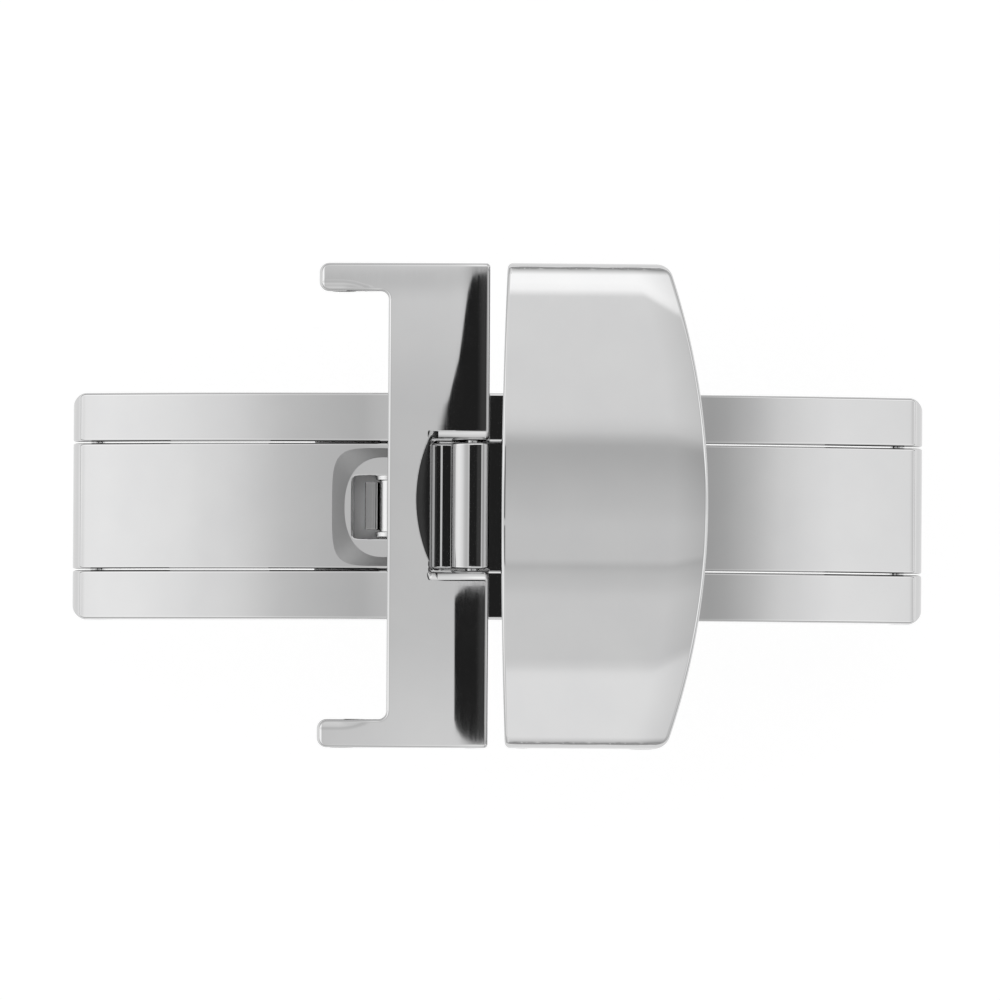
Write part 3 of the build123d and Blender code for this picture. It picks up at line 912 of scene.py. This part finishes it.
def steel(name, tone, rough, wear, side=1.0, grain=0.0, stretch=(1, 1, 1)):
    """Steel with faint clouding of its polish, fine hairlines and slightly duller patches.

    side paints shade into the colour: it darkens steep, near-vertical faces by that factor. stretch
    gives the hairlines their direction.
    """
    mat = bpy.data.materials.new(name)
    mat.use_nodes = True
    nt = mat.node_tree
    nodes, links = nt.nodes, nt.links
    math = math_in(nt)
    shader = nodes["Principled BSDF"]
    shader.inputs["Metallic"].default_value = 1.0
    coord = nodes.new("ShaderNodeTexCoord")

    cloud = nodes.new("ShaderNodeTexNoise")
    cloud.inputs["Scale"].default_value = CLOUDS_PER_METRE
    cloud.inputs["Detail"].default_value = 4
    links.new(coord.outputs["Object"], cloud.inputs["Vector"])
    tint = nodes.new("ShaderNodeValToRGB")
    low, high = tint.color_ramp.elements
    low.position, low.color = 0.3, (tone * 0.975, tone * 0.975, tone * 0.98, 1)
    high.position, high.color = 0.7, (tone * 1.01, tone * 1.01, tone * 1.01, 1)
    links.new(cloud.outputs["Fac"], tint.inputs["Fac"])
    colour = tint.outputs["Color"]
    # Painted shade: steep faces get a darker colour, scaled by side.
    if side < 1:
        facing = nodes.new("ShaderNodeSeparateXYZ")
        links.new(coord.outputs["Normal"], facing.inputs[0])
        steep_face_shade = nodes.new("ShaderNodeMapRange")
        steep_face_shade.inputs["From Min"].default_value = 0.85
        steep_face_shade.inputs["From Max"].default_value = 0.6
        links.new(math("ABSOLUTE", facing.outputs["Z"]), steep_face_shade.inputs["Value"])
        darker = nodes.new("ShaderNodeMix")
        darker.data_type = "RGBA"
        darker.blend_type = "MULTIPLY"
        links.new(steep_face_shade.outputs["Result"], darker.inputs[0])
        links.new(colour, darker.inputs[6])
        darker.inputs[7].default_value = (side, side, side, 1)
        colour = darker.outputs[2]
    links.new(colour, shader.inputs["Base Color"])

    along = nodes.new("ShaderNodeMapping")
    along.inputs["Scale"].default_value = stretch
    links.new(coord.outputs["Object"], along.inputs["Vector"])
    hair = nodes.new("ShaderNodeTexNoise")
    hair.inputs["Scale"].default_value = HAIRS_PER_METRE
    hair.inputs["Detail"].default_value = 2
    links.new(along.outputs["Vector"], hair.inputs["Vector"])
    gloss = nodes.new("ShaderNodeMapRange")
    gloss.inputs["From Min"].default_value = 0.3
    gloss.inputs["From Max"].default_value = 0.7
    gloss.inputs["To Min"].default_value = max(0.0, rough - wear)
    gloss.inputs["To Max"].default_value = rough + wear
    half_cloud = math("MULTIPLY", cloud.outputs["Fac"], 0.5)
    links.new(math("MULTIPLY_ADD", hair.outputs["Fac"], 0.5, half_cloud), gloss.inputs["Value"])
    links.new(gloss.outputs["Result"], shader.inputs["Roughness"])
    if grain > 0:
        bump = nodes.new("ShaderNodeBump")
        bump.inputs["Strength"].default_value = grain
        bump.inputs["Distance"].default_value = HAIR_DEPTH
        links.new(hair.outputs["Fac"], bump.inputs["Height"])
        links.new(bump.outputs["Normal"], shader.inputs["Normal"])
    return mat


# Dark tone on the dish's sloping wall: painted shade in the recess, with a rougher finish.
shaded_matte = steel("shaded_matte_steel", 0.44, 0.42, 0.05)
# Satin finish on the bridge under the windows; its pale tone is painted light that lifts that
# shaded floor.
satin_painted_light = steel("satin_painted_light_steel", 0.95, 0.72, 0.06)
# Its side value paints shade on steep faces.
polished = steel("polished_steel", 0.82, 0.03, 0.015, side=0.75, stretch=(1, 0.06, 1))
# Near-black steel: painted shade in the gap between arms and rails.
gap_shade = steel("gap_shade_steel", 0.05, 0.4, 0.05)
pin_steel = steel("pin_steel", 0.76, 0.14, 0.04, grain=0.05, stretch=(1, 0.1, 1))
roller_steel = steel("roller_steel", 0.9, 0.24, 0.03, stretch=(1, 1, 0.1))
spring_steel = steel("spring_steel", 0.62, 0.1, 0.04, grain=0.04, stretch=(0.1, 1, 1))
SMALL_FINISH = {"pin_steel": pin_steel, "roller_steel": roller_steel, "spring_steel": spring_steel}


# ---------------------------------------------------------------- assembly
def dress(piece, *materials):
    piece.data.materials.clear()
    for mat in materials:
        piece.data.materials.append(mat)


def add(piece, node, body, slot="polished_steel"):
    """Put a piece in a node's place, on its body; a small piece gets its slot's material."""
    if slot in SMALL_FINISH:
        dress(piece, SMALL_FINISH[slot])
    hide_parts(node)
    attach(piece, body)


def paint_base(ob):
    """Satin with painted light on the bridge inside the windows, painted shade on the edges along
    parts of the gap.
    """
    dress(ob, polished, satin_painted_light, gap_shade)
    for face in ob.data.polygons:
        c = face.center / MM
        height = hypot(c.x, c.z - CENTRE_Z) - LOW_RADIUS
        # Painted light: the pale satin on the bridge's top under the windows.
        if abs(c.y) < SLOT_HALF and 2.9 < abs(c.x) < 7.7 and height > BRIDGE_THICK - 0.05:
            face.material_index = 1
        # Painted shade on the edges along the gap.
        inward = -face.normal.y if c.y > 0 else face.normal.y
        at_gap = SLOT_HALF - 0.05 < abs(c.y) < SLOT_HALF + 0.1
        if at_gap and 0.5 < inward < 0.98 and in_gap_shade_span(c.x):
            face.material_index = 2


link = make_link()
dress(link, polished)
add(link, "strap_link", "strap_link")

cover = make_cover()
dress(cover, polished)
add(cover, "cover", "cover")

base = make_base()
weigh(base)
paint_base(base)
add(base, "base_frame", "base")

SIDES = ((-1, "left"), (1, "right"))
for sign, side in SIDES:
    arm_name = f"{side}_arm"
    add(make_arm(sign), arm_name, arm_name)
    add(make_roller(sign), f"{side}_catch_roller", f"{side}_roller", "roller_steel")

for sign, side in SIDES:
    arm_name = f"{side}_arm"
    carried = "cover" if sign > 0 else "strap_link"
    end, inner, axle = (on_side(point, sign) for point in (END, INNER, ROLLER))
    add(make_spring(sign), f"{side}_catch_spring", "base", "spring_steel")
    add(rod(f"{side}_end_pin", end, END_PIN_R, FRAME_HALF - PIN_SHORT, 0.05),
        f"{side}_hinge_pin", "base", "pin_steel")
    add(tube(f"{side}_end_tube", end, END_TUBE_R, END_PIN_R + PIN_PLAY, ARM_HALF),
        f"{side}_hinge_tube", arm_name, "pin_steel")
    add(rod(f"{side}_roller_pin", axle, ROLLER_PIN_R, ARM_HALF, 0.04),
        f"{side}_catch_pin", arm_name, "roller_steel")
    add(tube(f"{side}_knuckle_tube", inner, INNER_TUBE_R, INNER_PIN_R + PIN_PLAY, ARM_HALF),
        f"{carried}_tube", arm_name, "pin_steel")
    add(rod(f"{side}_long_pin", inner, INNER_PIN_R, HALF_WIDTH - PIN_SHORT, 0.06),
        f"{carried}_pin", carried, "pin_steel")
add(make_rivets(), "catch_spring_rivets", "base", "spring_steel")


# ---------------------------------------------------------------- floor, light, camera
FLOOR_Z = -0.01  # metres; the opened arms stay above it
FLOOR_HALF = 3.0
FLOOR_LEVEL = 0.76
PAPER = 0.4


def make_floor():
    """Pale floor that takes shadows, with its own level for camera, gloss and glass.

    It is clear from below, so that the clasp's underside can be looked at.
    """
    me = bpy.data.meshes.new("floor")
    corners = [(x * FLOOR_HALF, y * FLOOR_HALF, FLOOR_Z)
               for x, y in ((-1, -1), (1, -1), (1, 1), (-1, 1))]
    me.from_pydata(corners, [], [(0, 1, 2, 3)])
    ob = bpy.data.objects.new("floor", me)
    bpy.context.scene.collection.objects.link(ob)
    mat = bpy.data.materials.new("floor_paper")
    mat.use_nodes = True
    nt = mat.node_tree
    nt.nodes.clear()
    math = math_in(nt)
    paper = nt.nodes.new("ShaderNodeBsdfDiffuse")
    paper.inputs["Color"].default_value = (PAPER, PAPER, PAPER, 1)
    path = nt.nodes.new("ShaderNodeLightPath").outputs
    seen = math("MAXIMUM", path["Is Camera Ray"], path["Is Glossy Ray"])
    seen = math("MAXIMUM", seen, path["Is Transmission Ray"])
    glow = nt.nodes.new("ShaderNodeEmission")
    nt.links.new(math("MULTIPLY", seen, FLOOR_LEVEL), glow.inputs["Strength"])
    sheet = nt.nodes.new("ShaderNodeAddShader")
    nt.links.new(paper.outputs[0], sheet.inputs[0])
    nt.links.new(glow.outputs[0], sheet.inputs[1])
    geometry = nt.nodes.new("ShaderNodeNewGeometry")
    one_sided = nt.nodes.new("ShaderNodeMixShader")
    nt.links.new(geometry.outputs["Backfacing"], one_sided.inputs[0])
    nt.links.new(sheet.outputs[0], one_sided.inputs[1])
    nt.links.new(nt.nodes.new("ShaderNodeBsdfTransparent").outputs[0], one_sided.inputs[2])
    out = nt.nodes.new("ShaderNodeOutputMaterial")
    nt.links.new(one_sided.outputs[0], out.inputs["Surface"])
    me.materials.append(mat)


# The studio's sky, by two angles from straight up in degrees: u along the clasp and v across
# it. Its level is SKY_U times SKY_V, or times SKY_V_LEFT and FINE_V left of the middle.
SKY_U = [
    (-90, 0.8), (-76, 0.86), (-64, 0.9), (-56, 0.945), (-49.5, 0.905), (-43.7, 0.855),
    (-40.8, 0.81), (-38, 0.787), (-35.2, 0.737), (-32.3, 0.666), (-29.5, 0.606), (-26.8, 0.571),
    (-24, 0.543), (-18.5, 0.5), (-16.6, 0.54), (-12, 0.60), (-4, 0.62), (10, 0.60), (20, 0.48),
    (29, 0.405), (31.3, 0.444), (33.3, 0.51), (35.3, 0.578), (37.2, 0.66), (39.2, 0.745),
    (41.3, 0.79), (43.3, 0.838), (47.3, 0.9), (58, 0.885), (66, 0.85), (76, 0.82), (90, 0.8),
]
SKY_V = [
    (-90, 0.9), (-76, 1.1), (-60, 1.2), (-25, 1.44), (-15.6, 1.45), (-14.4, 1.14), (-8, 1.14),
    (-7, 1.05), (-5.6, 0.97), (-4.9, 0.88), (-4.3, 1.05), (-1, 1.06), (1.1, 0.97), (2.6, 0.93),
    (4.6, 0.85), (6.2, 0.8), (7.0, 0.8), (7.7, 0.93), (8.6, 1.17), (10, 1.27), (21.9, 1.3),
    (22.6, 1.95), (40, 1.6), (60, 1.2), (76, 1.1), (90, 0.9),
]
SKY_V_LEFT = [
    (-90, 0.9), (-76, 1.1), (-60, 1.2), (-25, 1.4), (-16, 1.1), (-8, 1.25), (-4.5, 1.18),
    (-2, 1.02), (3.5, 1.0), (6.8, 1.18), (10, 1.25), (25, 1.4), (60, 1.2), (76, 1.1), (90, 0.9),
]
FINE_V = [(-6.0, 1.0), (6.3, 1.0), (6.75, 0.85), (7.0, 0.85), (7.2, 1.0), (8.0, 1.0)]
LEVEL_CAP = 1.15
MIDDLE = (-6, 2)  # u over which left turns into right
# Between the two axes, from and to these angles in both, the sky is this much darker.
DIAGONAL = (12, 42)
DIAGONAL_DARKER = 0.5

# A dark panel straight above. Its left edge, in degrees of u for each v, stands far right
# where there is no panel; its right edge is straight.
DARK_LEFT = [
    (-6.0, 20), (-4.93, 20), (-4.89, 0.8), (-4.82, -1.5), (-4.72, -3.9), (-4.52, -5.7),
    (-4.32, -6.5), (-1.22, -6.66), (-1.05, -4.8), (-0.97, -2.5), (-0.92, 10), (-0.4, 10),
    (-0.2, -9.7), (3.05, -9.7), (3.66, -9.4), (4.3, -7.4), (4.77, -5.7), (5.25, -4.8),
    (5.78, -3.9), (6.19, -3.2), (6.52, -2.5), (6.86, -1.1), (6.95, 1.6), (7.02, 20), (8.0, 20),
]
DARK_SPAN = 20
DARK_RIGHT = (8.9, 9.5)
DARK_LEVEL = 0.016
DARK_RISE = 0.03  # what its right half is brighter


def make_world():
    world = bpy.data.worlds.new("studio")
    bpy.context.scene.world = world
    world.use_nodes = True
    nt = world.node_tree
    nt.nodes.clear()
    math = math_in(nt)

    def ramp(angle, stops):
        """Level from an angle in radians, between stops in degrees."""
        least, most = stops[0][0], stops[-1][0]
        node = nt.nodes.new("ShaderNodeValToRGB")
        elements = node.color_ramp.elements
        elements.remove(elements[-1])
        for i, (degrees, level) in enumerate(stops):
            place = (degrees - least) / (most - least)
            element = elements.new(place) if i else elements[0]
            element.position = place
            element.color = (level / 2, level / 2, level / 2, 1)
        place = math("MULTIPLY_ADD", angle, 1 / radians(most - least), -least / (most - least))
        nt.links.new(place, node.inputs["Fac"])
        return math("MULTIPLY", node.outputs["Color"], 2.0)

    def rise(value, start, end):
        """Smooth rise from 0 to 1 between two angles in degrees."""
        node = nt.nodes.new("ShaderNodeMapRange")
        node.interpolation_type = "SMOOTHSTEP"
        node.inputs["From Min"].default_value = radians(start)
        node.inputs["From Max"].default_value = radians(end)
        nt.links.new(value, node.inputs["Value"])
        return node.outputs["Result"]

    def mixed(share, there, here):
        """One level where share is 1, another where it is 0."""
        return math("ADD", math("MULTIPLY", there, share),
                    math("MULTIPLY", here, math("SUBTRACT", 1.0, share)))

    coord = nt.nodes.new("ShaderNodeTexCoord")
    split = nt.nodes.new("ShaderNodeSeparateXYZ")
    nt.links.new(coord.outputs["Generated"], split.inputs[0])
    u = math("ARCTAN2", split.outputs["X"], split.outputs["Z"])
    v = math("ARCTAN2", split.outputs["Y"], split.outputs["Z"])

    right = rise(u, *MIDDLE)
    across = mixed(right, ramp(v, SKY_V), ramp(v, SKY_V_LEFT))
    level = math("MULTIPLY", ramp(u, SKY_U), across)
    level = math("MULTIPLY", level, math("MAXIMUM", ramp(v, FINE_V), right))
    level = math("MINIMUM", level, LEVEL_CAP)
    diagonal = math("MULTIPLY", rise(math("ABSOLUTE", u), *DIAGONAL),
                    rise(math("ABSOLUTE", v), *DIAGONAL))
    level = math("MULTIPLY", level, math("MULTIPLY_ADD", diagonal, -DIAGONAL_DARKER, 1.0))

    left_edge = ramp(v, [(degrees, 1 + edge / DARK_SPAN) for degrees, edge in DARK_LEFT])
    left_edge = math("MULTIPLY", math("SUBTRACT", left_edge, 1.0), radians(DARK_SPAN))
    clear = math("MAXIMUM", rise(math("SUBTRACT", left_edge, u), -0.25, 0.25),
                 rise(u, *DARK_RIGHT))
    dark = math("MULTIPLY_ADD", rise(u, 0.5, 3), DARK_RISE, DARK_LEVEL)
    back = nt.nodes.new("ShaderNodeBackground")
    nt.links.new(mixed(clear, level, dark), back.inputs["Color"])
    out = nt.nodes.new("ShaderNodeOutputWorld")
    nt.links.new(back.outputs[0], out.inputs["Surface"])


# Camera, in metres: distance, width of its view at the clasp, the point it looks at.
CAMERA_DISTANCE = 1.2
VIEW_WIDTH = 0.04216
AIM = (0.000106, 0.000299, 0.005)
CAMERA_TILT = radians(1.1)
CAMERA_ROLL = radians(0.36)
SENSOR = 36


def make_camera():
    data = bpy.data.cameras.new("camera")
    cam = bpy.data.objects.new("camera", data)
    bpy.context.scene.collection.objects.link(cam)
    bpy.context.scene.camera = cam
    data.sensor_width = SENSOR
    data.lens = SENSOR * CAMERA_DISTANCE / VIEW_WIDTH
    data.clip_start = 0.1
    data.clip_end = 20
    turn = Matrix.Rotation(CAMERA_TILT, 4, "X") @ Matrix.Rotation(CAMERA_ROLL, 4, "Z")
    back_off = Matrix.Translation((0, 0, CAMERA_DISTANCE))
    cam.matrix_world = Matrix.Translation(AIM) @ turn @ back_off


make_floor()
make_world()
make_camera()
bpy.context.scene.view_settings.view_transform = "Standard"
